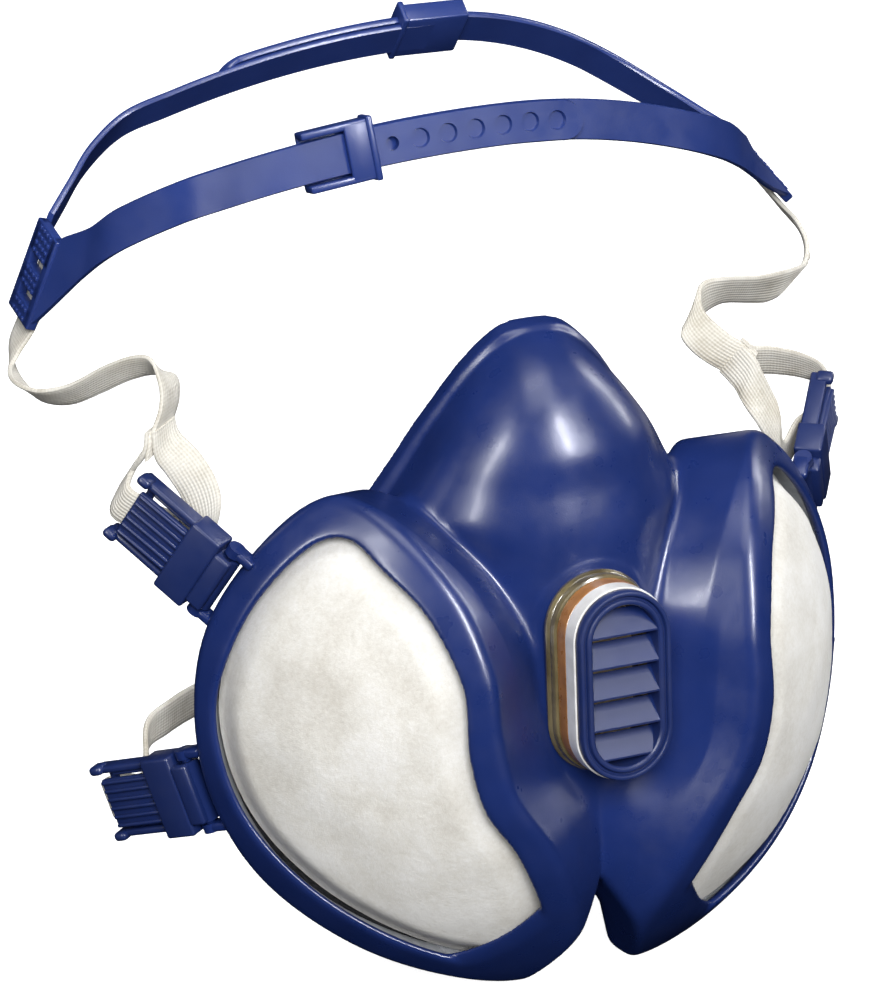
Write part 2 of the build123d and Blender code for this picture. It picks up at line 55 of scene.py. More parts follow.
# ---------------------------------------------------------------- driving dimensions, as in the part
WALL = 2.5
FACE_RADIUS = 95.0
FACE_FRONT = 2.0
LIP_WIDTH = 9.0
LIP_THICKNESS = 1.6
POD_CENTRE = (58.0, -30.0, -15.0)
POD_TURN = radians(47.5)
POD_CROWN = 89.0
POD_RISE = 11.0
POD_DROP = -4.0
POD_BACK = -34.0
VALVE_CENTRE = (0.0, -41.8, 0.0)
VALVE_TILT = radians(8.6)
VALVE_LENGTH = 45.5
VALVE_WIDTH = 23.5
VALVE_HEIGHT = 15.0
COLLAR = 8.2
POD_RIM = [(5, 56.5), (15.5, 54.5), (28, 41.5), (37.8, 23.5), (40, 5), (36, -17), (23.5, -38.5), (2, -54.5),
           (-18, -63.5), (-33, -67), (-44, -61.5), (-51.5, -48), (-52.5, -33), (-49.5, -19), (-42, -4),
           (-38, 10), (-34.5, 24.5), (-25, 39.5), (-10, 51)]
POD_WINDOW = [(5, 48.3), (14.5, 44), (25.3, 29), (31.8, 9), (30.3, -6), (23, -21.5), (9, -35.5), (-9, -47.5),
              (-25, -55), (-36.5, -55.5), (-43.5, -46.5), (-44.8, -35), (-41.5, -20), (-35, -8), (-31, 6),
              (-28, 21.5), (-18, 35.5), (-5, 44)]
COLUMN = [(71.5, 7, -7), (64, 17, -18), (52, 27, -29), (33, 37, -36), (14, 30, -39.2),
          (-10, 25, -42.8), (-40, 23, -45.5), (-59, 18, -41.5), (-69, 11, -28)]
CUP = [(21, 48), (34, 33), (51, 10), (58, -16), (52, -45), (32, -66)]
CUP_TOP = 59.0
CUP_BOTTOM = -74.0
CUP_FRONT = -12.0
# Bar of each right buckle in the pod's frame, then its swing and tip in degrees.
BUCKLE_FRAMES = {"upper": ((36.9, 33.0, -6.0), 31.0, 4.0), "lower": ((39.3, -20.2, -1.5), -22.5, 9.0)}


# ---------------------------------------------------------------- frames of reference
def frame_matrix(origin, x_axis, z_axis):
    """A place with its X and Z directions, in millimetres."""
    z = Vector(z_axis).normalized()
    x = Vector(x_axis).normalized()
    y = z.cross(x)
    return Matrix.Translation(origin) @ Matrix((x, y, z)).transposed().to_4x4()


POD = frame_matrix(POD_CENTRE, (cos(POD_TURN), sin(POD_TURN), 0), (sin(POD_TURN), -cos(POD_TURN), 0))
VALVE = frame_matrix(VALVE_CENTRE, (1, 0, 0), (0, -cos(VALVE_TILT), sin(VALVE_TILT)))
MIRROR = Matrix.Scale(-1, 4, (1, 0, 0))


def buckle_matrix(name):
    """The right buckle's place: origin on its bar, X along the strap, Y along the bar, Z outwards."""
    centre, swing, tip = BUCKLE_FRAMES[name]
    turned = Matrix.Rotation(radians(swing), 4, "Z") @ Matrix.Rotation(radians(tip), 4, "Y")
    return POD @ Matrix.Translation(centre) @ turned


# ---------------------------------------------------------------- curves and outlines
def between(a, b, c, d, t):
    """Smooth value between b and c, on a curve that runs through all four."""
    return 0.5 * (2 * b + (c - a) * t + (2 * a - 5 * b + 4 * c - d) * t ** 2
                  + (3 * b - a - 3 * c + d) * t ** 3)


def closed_curve(points, steps=14):
    """A smooth closed outline through the points, as an array of fine points."""
    ring = np.array(points, float)
    t = np.arange(steps)[:, None] / steps
    parts = []
    for i in range(len(ring)):
        a, b, c, d = ring[i - 1], ring[i], ring[(i + 1) % len(ring)], ring[(i + 2) % len(ring)]
        parts.append(between(a, b, c, d, t))
    return np.vstack(parts)


def outline_distance(loop, x, y):
    """Distance to a closed outline, negative inside, for flat arrays x and y."""
    best = np.full(x.shape, 1e9)
    inside = np.zeros(x.shape, bool)
    for (ax, ay), (bx, by) in zip(loop, np.roll(loop, -1, axis=0)):
        ex, ey = bx - ax, by - ay
        t = np.clip(((x - ax) * ex + (y - ay) * ey) / (ex * ex + ey * ey), 0, 1)
        best = np.minimum(best, (x - ax - t * ex) ** 2 + (y - ay - t * ey) ** 2)
        crosses = (ay > y) != (by > y)
        with np.errstate(divide="ignore", invalid="ignore"):
            inside ^= crosses & (x < ax + (y - ay) * ex / (ey if ey else 1e-9))
    return np.where(inside, -1, 1) * np.sqrt(best)


class OutlineField:
    """Signed distance to an outline, read from a fine table."""

    def __init__(self, points, margin=40.0, step=0.5):
        loop = closed_curve(points)
        self.low, self.step = loop.min(0) - margin, step
        size = np.ceil((loop.max(0) + margin - self.low) / step).astype(int)
        gx, gy = np.meshgrid(*(self.low[k] + step * np.arange(size[k]) for k in (0, 1)), indexing="ij")
        self.table = outline_distance(loop, gx, gy).astype(np.float32)

    def __call__(self, x, y):
        fx = np.clip((x - self.low[0]) / self.step, 0, self.table.shape[0] - 1.001)
        fy = np.clip((y - self.low[1]) / self.step, 0, self.table.shape[1] - 1.001)
        i, j = fx.astype(np.int32), fy.astype(np.int32)
        u, v = fx - i, fy - j
        t = self.table
        return ((1 - u) * (1 - v) * t[i, j] + u * (1 - v) * t[i + 1, j]
                + (1 - u) * v * t[i, j + 1] + u * v * t[i + 1, j + 1])


def soft_min(a, b, k):
    """Union of two distance fields with a fillet of about k."""
    h = np.clip(0.5 + 0.5 * (b - a) / k, 0, 1)
    return b + (a - b) * h - k * h * (1 - h)


def soft_max(a, b, k):
    """Intersection of two distance fields with a rounding of about k."""
    return -soft_min(-a, -b, k)


def eased(values, low, high):
    """0 below low, 1 above high and a smooth step in between."""
    t = np.clip((values - low) / (high - low), 0, 1)
    return t * t * (3 - 2 * t)


# ---------------------------------------------------------------- rubber facepiece as a distance field
POD_EDGE = OutlineField(POD_RIM)
WINDOW_EDGE = OutlineField(POD_WINDOW)
CUP_EDGE = OutlineField([(0, CUP_TOP), *CUP, (0, CUP_BOTTOM), *[(-x, z) for x, z in reversed(CUP)]])
NOSE_TOP = 73.2               # highest point of the cone, under its rolled edge
CHIN_LEVEL = -54.5            # underside of the column at its front, and how it falls away behind
CHIN_FRONT = -39.5
CHIN_SLOPE = 0.345
CHIN_SPREAD = 1.9             # how steeply the notch between the lobes opens downwards
TOP_SLOPE = 0.3               # a pod's upper wall slopes down behind its rim
TOP_START = -13.0
COLUMN_BACK = 10.0
FLANGE_WIDTH = 6.0            # rolled edge of the seal round the whole opening
FLANGE_PROUD = 1.2
RIM_ROUND = 2.2               # how softly a pod's front turns into its side
VALLEY_ROUND = 3.0            # fillet between a pod and the column


def column_profile(z):
    """Half width and depth of the nose cone and column at each height, each with its slope."""
    heights = np.arange(CUP_BOTTOM - 10, NOSE_TOP + 14, 0.5)
    knots = np.array(COLUMN[::-1], float)
    knots = np.vstack([[knots[0][0] - 8, 2.0, knots[0][2] + 16], knots])
    weights = np.exp(-0.5 * (np.arange(-16, 17) * 0.5 / 2.6) ** 2)
    weights /= weights.sum()
    tapers = ((31.0, 0.15, 46.0), (100.0, -1.2, 48.0))
    curves = []
    for column, (linear, square, join) in zip((1, 2), tapers):
        raw = np.interp(heights, knots[:, 0], knots[:, column])
        smooth = np.convolve(np.pad(raw, 16, mode="edge"), weights, mode="valid")
        below = np.maximum(NOSE_TOP - heights, 0)
        cap = np.sqrt(np.maximum(linear * below + square * below ** 2, 0.25))
        if column == 2:
            cap = COLUMN_BACK - cap
        share = eased(heights, join - 8, join + 6)
        profile = smooth * (1 - share) + cap * share
        if column == 2:
            profile = COLUMN_BACK - profile
        slope = np.clip(np.gradient(profile, 0.5), -2.2, 2.2)
        curves += [np.interp(z, heights, profile), np.interp(z, heights, slope)]
    return curves


def column_distance(x, y, z):
    """Distance to the nose cone and column, whose level slices are rounded squares."""
    half, half_slope, depth, depth_slope = column_profile(z)
    power = 2.35 + 0.9 * eased(-z, -30, 5)
    ahead = np.maximum(COLUMN_BACK - y, 0)
    narrower = 1 + 0.15 * eased(y, -16, 6)          # the cone draws in towards the face
    across, along = (x * narrower / half) ** power, (ahead / depth) ** power
    size = np.maximum(across + along, 1e-6)
    radial = np.hypot(x, ahead)
    surface = radial / size ** (1 / power)
    slope = np.clip((across * half_slope / half + along * depth_slope / depth) / size * surface, -2.2, 2.2)
    return soft_max((radial - surface) / np.sqrt(1 + slope ** 2), z - NOSE_TOP, 2.0)


def pod_coordinates(x, y, z):
    """Place in the right pod's plane: across, up and out of it."""
    dx, dy = x - POD_CENTRE[0], y - POD_CENTRE[1]
    return (dx * cos(POD_TURN) + dy * sin(POD_TURN), z - POD_CENTRE[2],
            dx * sin(POD_TURN) - dy * cos(POD_TURN))


def obround_distance(x, y, z):
    """Distance to the valve's outline in its own plane, and height above that plane."""
    dy, dz = y - VALVE_CENTRE[1], z - VALVE_CENTRE[2]
    up = dy * sin(VALVE_TILT) + dz * cos(VALVE_TILT)
    out = -dy * cos(VALVE_TILT) + dz * sin(VALVE_TILT)
    straight = (VALVE_LENGTH - VALVE_WIDTH) / 2
    return np.hypot(x, np.maximum(np.abs(up) - straight, 0)) - VALVE_WIDTH / 2, out


def facepiece_field(x, y, z):
    """Signed distance to the moulding for x >= 0, in millimetres.

    Solid column, cheek cup and pod are joined, then hollowed, pierced and cut by the face cylinder.
    """
    face = np.hypot(x, y - FACE_FRONT - FACE_RADIUS) - FACE_RADIUS
    flare = FLANGE_PROUD * eased(FLANGE_WIDTH - face, 0, 1.3)

    column = column_distance(x, y, z)
    cup = soft_max(CUP_EDGE(x, z), CUP_FRONT - y, 6.0)
    under = (CHIN_LEVEL - CHIN_SLOPE * (y - CHIN_FRONT) - CHIN_SPREAD * x - z) * 0.5
    u, w, t = pod_coordinates(x, y, z)
    dome = np.sqrt(u ** 2 + (w - POD_DROP) ** 2 + (t - POD_RISE + POD_CROWN) ** 2) - POD_CROWN
    behind = np.maximum(TOP_START - t, 0) * TOP_SLOPE * eased(w, 5, 35)
    edge = POD_EDGE(u, w + behind) * 0.95
    front = soft_max(edge, dome, RIM_ROUND)
    pod = soft_max(soft_max(front, POD_BACK - t, 3.0), under, 1.5)

    body = soft_max(soft_min(column, cup, 6.0), under, 2.0)
    skin = soft_min(body, pod, VALLEY_ROUND) - flare
    room = soft_max(soft_max(front, POD_BACK - t, 1.0), under, 1.5) + WALL
    shell = soft_max(skin, -np.minimum(body + WALL, room), 0.8)
    slot, out = obround_distance(x, y, z)
    collar = np.maximum(np.maximum(slot - 3.2, -out - COLLAR), skin)
    shell = soft_min(shell, collar, 1.0)
    shell = soft_max(shell, -np.maximum(slot + 1.4, np.abs(out + 4) - 12), 0.6)
    window = np.maximum(WINDOW_EDGE(u, w), -10 - t)
    shell = soft_max(shell, -window, 2.6)
    lip = np.abs(face - LIP_THICKNESS / 2) - LIP_THICKNESS / 2
    lip = np.maximum(np.maximum(lip, -LIP_WIDTH - body), body)
    shell = soft_min(shell, lip, 1.2)
    return soft_max(shell, -face, 1.4)


def facepiece_mesh():
    """The field's surface as a mesh in metres, with its normals taken from the field."""
    step = 0.72
    low = np.array([0.5 * step, -66.0, -84.0])
    high = np.array([92.0, 30.0, 80.0])
    counts = np.ceil((high - low) / step).astype(int)
    axes = [(low[k] + step * np.arange(counts[k])).astype(np.float32) for k in range(3)]
    x, y, z = np.meshgrid(*axes, indexing="ij")
    field = facepiece_field(x, y, z)
    field = np.concatenate([field[::-1], field]).astype(np.float32)
    grid = openvdb.FloatGrid(9.0)
    grid.copyFromArray(field)
    points, quads = grid.convertToQuads(0.0)
    slopes = np.gradient(field)
    cell = np.clip(np.floor(points).astype(int), 0, np.array(field.shape) - 2)
    part = points - cell
    normals = np.zeros_like(points)
    for corner in np.ndindex(2, 2, 2):
        share = np.prod([part[:, k] if corner[k] else 1 - part[:, k] for k in range(3)], axis=0)
        at = tuple((cell + corner).T)
        normals += share[:, None] * np.stack([s[at] for s in slopes], axis=1)
    normals /= np.maximum(np.linalg.norm(normals, axis=1, keepdims=True), 1e-6)
    origin = np.array([-(counts[0] - 0.5) * step, low[1], low[2]])
    mesh = bpy.data.meshes.new("facepiece_rubber")
    mesh.from_pydata(((points * step + origin) * MM).tolist(), [], quads.astype(int).tolist())
    mesh.shade_smooth()
    mesh.normals_split_custom_set_from_vertices(normals.tolist())
    return mesh


# ---------------------------------------------------------------- materials
class Finish:
    """A Principled material and short calls that add its texture nodes, in object space (metres)."""

    def __init__(self, name, colour, roughness, **sockets):
        self.material = bpy.data.materials.new(name)
        self.material.use_nodes = True
        self.tree = self.material.node_tree
        self.shader = self.tree.nodes["Principled BSDF"]
        self.shader.inputs["Base Color"].default_value = (*colour, 1)
        self.shader.inputs["Roughness"].default_value = roughness
        for socket, value in sockets.items():
            self.shader.inputs[socket.replace("_", " ")].default_value = value
        self.place = self.node("ShaderNodeTexCoord").outputs["Object"]
        self.height = None

    def node(self, kind, **settings):
        made = self.tree.nodes.new(kind)
        for key, value in settings.items():
            setattr(made, key, value)
        return made

    def link(self, source, target):
        self.tree.links.new(source, target)

    def grain(self, scale, detail=3.0, rough=0.5, place=None):
        made = self.node("ShaderNodeTexNoise")
        made.inputs["Scale"].default_value = scale
        made.inputs["Detail"].default_value = detail
        made.inputs["Roughness"].default_value = rough
        self.link(place or self.place, made.inputs["Vector"])
        return made.outputs["Fac"]

    def ramp(self, value, *stops):
        made = self.node("ShaderNodeValToRGB")
        elements = made.color_ramp.elements
        while len(elements) < len(stops):
            elements.new(0.5)
        for element, (position, colour) in zip(elements, stops):
            element.position = position
            element.color = (*colour, 1)
        self.link(value, made.inputs["Fac"])
        return made.outputs["Color"]

    def remap(self, value, low, high, from_low=0.3, from_high=0.7):
        made = self.node("ShaderNodeMapRange")
        ends = {"From Min": from_low, "From Max": from_high, "To Min": low, "To Max": high}
        for key, number in ends.items():
            made.inputs[key].default_value = number
        self.link(value, made.inputs["Value"])
        return made.outputs["Result"]

    def math(self, operation, a, b):
        made = self.node("ShaderNodeMath", operation=operation)
        for socket, value in zip(made.inputs, (a, b)):
            if isinstance(value, (int, float)):
                socket.default_value = value
            else:
                self.link(value, socket)
        return made.outputs["Value"]

    def colour(self, output):
        self.link(output, self.shader.inputs["Base Color"])

    def rough(self, output):
        self.link(output, self.shader.inputs["Roughness"])

    def bump(self, value, distance, strength=1.0):
        made = self.node("ShaderNodeBump")
        made.inputs["Strength"].default_value = strength
        made.inputs["Distance"].default_value = distance
        self.link(value, made.inputs["Height"])
        if self.height is not None:
            self.link(self.height, made.inputs["Normal"])
        self.height = made.outputs["Normal"]
        self.link(self.height, self.shader.inputs["Normal"])


def blue_moulding(name, dark, light, roughness, grain):
    finish = Finish(name, light, roughness, Coat_Weight=0.12, Coat_Roughness=0.18, Specular_IOR_Level=0.42)
    cloud = finish.grain(45.0, 4.0)
    finish.colour(finish.ramp(cloud, (0.3, dark), (0.7, light)))
    finish.rough(finish.remap(finish.grain(160.0), roughness - 0.05, roughness + 0.07))
    finish.bump(finish.grain(3200.0, 2.0), grain)
    finish.bump(finish.grain(220.0, 2.0), 0.00005, 0.35)
    return finish.material


def fleece_finish():
    finish = Finish("white_fleece", (0.85, 0.84, 0.81), 0.95, Sheen_Weight=0.35, Sheen_Roughness=0.6)
    cloud = finish.grain(38.0, 5.0, 0.6)
    fibre = finish.grain(900.0, 4.0, 0.7)
    mixed = finish.math("ADD", finish.math("MULTIPLY", cloud, 0.75), finish.math("MULTIPLY", fibre, 0.25))
    finish.colour(finish.ramp(mixed, (0.36, (0.60, 0.57, 0.51)), (0.48, (0.72, 0.70, 0.65)),
                              (0.60, (0.82, 0.81, 0.785))))
    finish.bump(finish.grain(1400.0, 5.0, 0.75), 0.00025, 0.6)
    finish.bump(cloud, 0.0012, 0.5)
    return finish.material


RUBBER = blue_moulding("blue_rubber", (0.0085, 0.0215, 0.114), (0.0118, 0.0285, 0.150), 0.31, 0.00002)
PLASTIC = blue_moulding("blue_plastic", (0.0085, 0.0200, 0.100), (0.0112, 0.0260, 0.128), 0.42, 0.00002)
BAND_PLASTIC = blue_moulding("blue_band", (0.0165, 0.036, 0.175), (0.022, 0.047, 0.220), 0.34, 0.00002)
FLEECE = fleece_finish()


def webbing_finish():
    """Cream woven elastic: lengthwise ribs, fine picks across and a warm uneven tone."""
    finish = Finish("woven_elastic", (0.86, 0.83, 0.77), 0.9, Sheen_Weight=0.25, Sheen_Roughness=0.5)
    split = finish.node("ShaderNodeSeparateXYZ")
    finish.link(finish.node("ShaderNodeTexCoord").outputs["UV"], split.inputs["Vector"])
    ribs = finish.math("SINE", finish.math("MULTIPLY", split.outputs["X"], 2 * pi * 11), 0)
    picks = finish.math("SINE", finish.math("MULTIPLY", split.outputs["Y"], 2 * pi / 0.9), 0)
    weave = finish.math("ADD", finish.math("MULTIPLY", ribs, 0.7), finish.math("MULTIPLY", picks, 0.3))
    tone = finish.math("ADD", finish.math("MULTIPLY", weave, 0.10), finish.grain(70.0, 5.0, 0.6))
    finish.colour(finish.ramp(tone, (0.30, (0.50, 0.46, 0.38)), (0.48, (0.70, 0.67, 0.60)),
                              (0.7, (0.80, 0.78, 0.72))))
    finish.bump(weave, 0.00012, 0.7)
    finish.bump(finish.grain(2600.0, 3.0), 0.00006, 0.5)
    return finish.material


def olive_finish():
    finish = Finish("olive_housing", (0.16, 0.125, 0.06), 0.18, Coat_Weight=0.6, Coat_Roughness=0.06,
                    Transmission_Weight=0.25)
    finish.colour(finish.ramp(finish.grain(120.0, 3.0), (0.35, (0.10, 0.078, 0.036)),
                              (0.65, (0.24, 0.195, 0.10))))
    finish.rough(finish.remap(finish.grain(300.0), 0.14, 0.26))
    return finish.material


def printed_band(name, dark, light, roughness):
    finish = Finish(name, light, roughness, Coat_Weight=0.2, Coat_Roughness=0.15)
    finish.colour(finish.ramp(finish.grain(260.0, 4.0), (0.32, dark), (0.62, light)))
    finish.rough(finish.remap(finish.grain(500.0), roughness - 0.05, roughness + 0.08))
    finish.bump(finish.grain(1800.0, 2.0), 0.00002)
    return finish.material


def plain_finish(name, dark, light, roughness, scale, depth):
    """A rough inner part: mottled colour and a grain of its own size."""
    finish = Finish(name, light, roughness)
    finish.colour(finish.ramp(finish.grain(scale, 4.0), (0.35, dark), (0.65, light)))
    finish.bump(finish.grain(scale * 3, 3.0), depth, 0.6)
    return finish.material


WEBBING = webbing_finish()
OLIVE = olive_finish()
BROWN = printed_band("brown_band", (0.30, 0.125, 0.030), (0.44, 0.19, 0.05), 0.3)
WHITE = printed_band("white_band", (0.74, 0.73, 0.71), (0.86, 0.855, 0.84), 0.35)
TRAY = plain_finish("grey_tray", (0.42, 0.44, 0.47), (0.55, 0.57, 0.60), 0.5, 300.0, 0.00003)
CARBON = plain_finish("carbon_granules", (0.008, 0.008, 0.009), (0.05, 0.05, 0.055), 0.7, 900.0, 0.0006)
SCRIM = plain_finish("scrim", (0.68, 0.68, 0.66), (0.84, 0.84, 0.82), 0.9, 1200.0, 0.0001)
FLAP = plain_finish("flap_rubber", (0.46, 0.34, 0.17), (0.60, 0.46, 0.25), 0.55, 400.0, 0.00002)
CARRIED_OVER = {"valve_body": OLIVE, "flap_clamp": OLIVE, "exhale_flap": FLAP, "neck_hook": PLASTIC,
                "neck_eye": PLASTIC}
for hand in ("left", "right"):
    CARRIED_OVER.update({"filter_tray_" + hand: TRAY, "carbon_bed_" + hand: CARBON,
                         "dust_scrim_" + hand: SCRIM, "inhale_flap_" + hand: FLAP})


def add_piece(name, mesh, body, material, replaces=()):
    piece = bpy.data.objects.new(name, mesh)
    bpy.context.scene.collection.objects.link(piece)
    mesh.materials.clear()
    mesh.materials.append(material)
    if body:
        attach(piece, body)
    if replaces:
        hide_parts(*replaces)
    return piece


# ---------------------------------------------------------------- filter fleece
PAD_SUNK = 1.9                # fleece below the rim's dome in the middle of the window
PAD_TUCK = 3.4                # further down at the window's edge
PAD_MARGIN = 2.2              # how far the fleece runs on under the rim


def fleece_mesh(side):
    """Soft domed pad inside the window, mirrored for the left side."""
    loop = closed_curve(POD_WINDOW, 10)
    ahead = np.roll(loop, -1, axis=0) - np.roll(loop, 1, axis=0)
    ahead /= np.linalg.norm(ahead, axis=1, keepdims=True)
    outer = loop + PAD_MARGIN * np.stack([-ahead[:, 1], ahead[:, 0]], axis=1)
    pitch = 1.1
    (ulo, wlo), (uhi, whi) = outer.min(0), outer.max(0)
    gu, gw = np.meshgrid(np.arange(ulo, uhi, pitch), np.arange(wlo, whi, pitch), indexing="ij")
    gu, gw = gu.ravel() + 0.13 * np.sin(gw.ravel() * 3.1), gw.ravel()
    inner = WINDOW_EDGE(gu, gw) < PAD_MARGIN - 0.6 * pitch
    flat = [Vector(p) for p in outer] + [Vector(p) for p in np.stack([gu[inner], gw[inner]], axis=1)]
    ring = [(i, (i + 1) % len(outer)) for i in range(len(outer))]
    points, _, faces, *_ = geometry.delaunay_2d_cdt(flat, ring, [], 1, 1e-6)
    place = (MIRROR if side < 0 else Matrix.Identity(4)) @ POD
    mesh_points = []
    for p in points:
        depth = -float(WINDOW_EDGE(np.array([p[0]]), np.array([p[1]]))[0])
        puff = float(eased(np.array([depth]), -1.5, 7.0)[0])
        lumps = noise.noise(Vector((p[0] * 0.07, p[1] * 0.07, side * 3.0)))
        fuzz = noise.noise(Vector((p[0] * 0.6, p[1] * 0.6, side * 9.0)))
        radius = POD_CROWN - PAD_SUNK - PAD_TUCK * (1 - puff) + 0.45 * puff * lumps + 0.09 * fuzz
        height = POD_RISE - POD_CROWN + sqrt(max(radius ** 2 - p[0] ** 2 - (p[1] - POD_DROP) ** 2, 0.0))
        mesh_points.append((place @ Vector((p[0], p[1], height))) * MM)
    mesh = bpy.data.meshes.new("fleece")
    mesh.from_pydata(mesh_points, [], [f if side > 0 else f[::-1] for f in faces])
    mesh.shade_smooth()
    return mesh


# ---------------------------------------------------------------- mesh helpers
def matrix_of(place):
    """A millimetre frame as a matrix that also scales to metres."""
    return Matrix.Scale(MM, 4) @ place


def new_mesh(name, bm, place=Matrix.Identity(4), sharp=radians(32)):
    """The bmesh, moved from a millimetre frame into place, as a mesh with crisp edges kept."""
    bm.transform(matrix_of(place))
    bmesh.ops.recalc_face_normals(bm, faces=bm.faces)
    mesh = bpy.data.meshes.new(name)
    bm.to_mesh(mesh)
    bm.free()
    mesh.shade_smooth()
    mesh.set_sharp_from_angle(angle=sharp)
    return mesh


def block(bm, centre, size, bevel=0.5, turn=None, segments=3):
    """A box with rounded edges."""
    made = bmesh.ops.create_cube(bm, size=1.0)["verts"]
    bmesh.ops.scale(bm, vec=size, verts=made)
    edges = list({e for v in made for e in v.link_edges})
    bevel = min(bevel, 0.45 * min(size))
    rounded = bmesh.ops.bevel(bm, geom=edges, offset=bevel, segments=segments, profile=0.5, affect="EDGES")
    made = list({v for f in rounded["faces"] for v in f.verts} | {v for v in made if v.is_valid})
    if turn is not None:
        bmesh.ops.transform(bm, matrix=turn, verts=made)
    bmesh.ops.translate(bm, vec=centre, verts=made)
    return made


def rod(bm, start, end, radius, segments=20):
    """A round bar between two points."""
    way = Vector(end) - Vector(start)
    middle = (Vector(start) + Vector(end)) / 2
    place = Matrix.Translation(middle) @ way.to_track_quat("Z", "Y").to_matrix().to_4x4()
    bmesh.ops.create_cone(bm, cap_ends=True, segments=segments, radius1=radius, radius2=radius,
                          depth=way.length, matrix=place)


# ---------------------------------------------------------------- outlet valve
STRAIGHT = (VALVE_LENGTH - VALVE_WIDTH) / 2
ARC_STEPS = 26


def obround_ring(profile, name):
    """A closed section (growth outwards, height) swept round the valve's outline."""
    bm = bmesh.new()
    rings = []
    for half in (0, 1):
        for k in range(ARC_STEPS + 1):
            angle = pi * (half + k / ARC_STEPS)
            core = STRAIGHT if half == 0 else -STRAIGHT
            rings.append([bm.verts.new((cos(angle) * (VALVE_WIDTH / 2 + grow),
                                        core + sin(angle) * (VALVE_WIDTH / 2 + grow), height))
                          for grow, height in profile])
    for near, far in zip(rings, rings[1:] + rings[:1]):
        for k in range(len(profile)):
            m = (k + 1) % len(profile)
            bm.faces.new((near[k], far[k], far[m], near[m]))
    return new_mesh(name, bm, VALVE)


def half_width(level, grow):
    """Half the valve outline's width at a level, grown or shrunk."""
    past = max(abs(level) - STRAIGHT, 0)
    return sqrt(max((VALVE_WIDTH / 2 + grow) ** 2 - past ** 2, 0.0))


LOUVRE_PITCH = 7.4
LOUVRE_SLOPE = radians(40)
LOUVRE_LENGTH = 6.8
LOUVRE_THICKNESS = 0.9


def louvres(bm):
    """Five blades that slope down and outwards, each ending in the cover's wall."""
    end, thick = LOUVRE_LENGTH / 2, LOUVRE_THICKNESS / 2
    section = [(-end, -thick * 0.4), (-end + 0.3, -thick), (end, -thick), (end, thick), (-end + 0.3, thick),
               (-end, thick * 0.4)]
    columns = 9
    for step in range(-2, 3):
        rows = []
        for along, out in section:
            level = step * LOUVRE_PITCH + along * cos(LOUVRE_SLOPE) + out * sin(LOUVRE_SLOPE)
            height = 12.2 - along * sin(LOUVRE_SLOPE) + out * cos(LOUVRE_SLOPE)
            reach = half_width(level, -3.0)
            rows.append([bm.verts.new((reach * (2 * k / (columns - 1) - 1), level, height))
                         for k in range(columns)])
        for near, far in zip(rows, rows[1:] + rows[:1]):
            for k in range(columns - 1):
                bm.faces.new((near[k], far[k], far[k + 1], near[k + 1]))
        bm.faces.new([row[0] for row in rows])
        bm.faces.new([row[-1] for row in reversed(rows)])


def band_profile(low, high, proud):
    return [(0.03, low), (proud - 0.1, low), (proud, low + 0.12), (proud + 0.06, (low + high) / 2),
            (proud, high - 0.12), (proud - 0.1, high), (0.03, high)]


def outlet_valve():
    """The visible outside of the valve; its housing, flap and clamp are the part's own meshes."""
    top = VALVE_HEIGHT
    rim = [(-0.05, 12.35), (0.05, 13.2), (0.0, top - 0.55), (-0.22, top - 0.12), (-0.6, top),
           (-1.0, top - 0.1), (-1.22, top - 0.4), (-1.3, top - 0.95), (-1.75, top - 0.95), (-1.85, top - 0.4),
           (-2.1, top - 0.08), (-2.5, top + 0.02), (-2.95, top - 0.1), (-3.25, top - 0.5), (-3.35, 13.0),
           (-3.35, 9.7), (-3.6, 9.3), (-2.4, 9.3), (-2.2, 12.35)]
    blades = bmesh.new()
    louvres(blades)
    add_piece("valve_cover_rim", obround_ring(rim, "valve_cover_rim"), "mask", PLASTIC,
              ["valve_cover"])
    add_piece("valve_cover_louvres", new_mesh("louvres", blades, VALVE), "mask", PLASTIC)
    foot = [(0.02, -0.8), (1.5, -0.8), (1.75, 0.4), (1.45, 1.2), (1.2, 1.5), (1.15, 2.7), (0.95, 3.2),
            (0.6, 3.45), (0.02, 3.5)]
    add_piece("valve_foot_ring", obround_ring(foot, "valve_foot"), "mask", OLIVE)
    for name, low, high, material in (("brown", 3.55, 7.8, BROWN), ("white", 7.85, 12.3, WHITE)):
        band = obround_ring(band_profile(low, high, 0.42), name)
        add_piece("label_band_" + name, band, "mask", material, ["colour_band_" + name])


# ---------------------------------------------------------------- buckles and lugs
BUCKLE_LENGTH, BUCKLE_WIDTH, BUCKLE_DEPTH = 8.6, 20.5, 7.0
BUCKLE_START = 2.7            # from the bar's centre to the box
BUCKLE_RAIL = 17.0


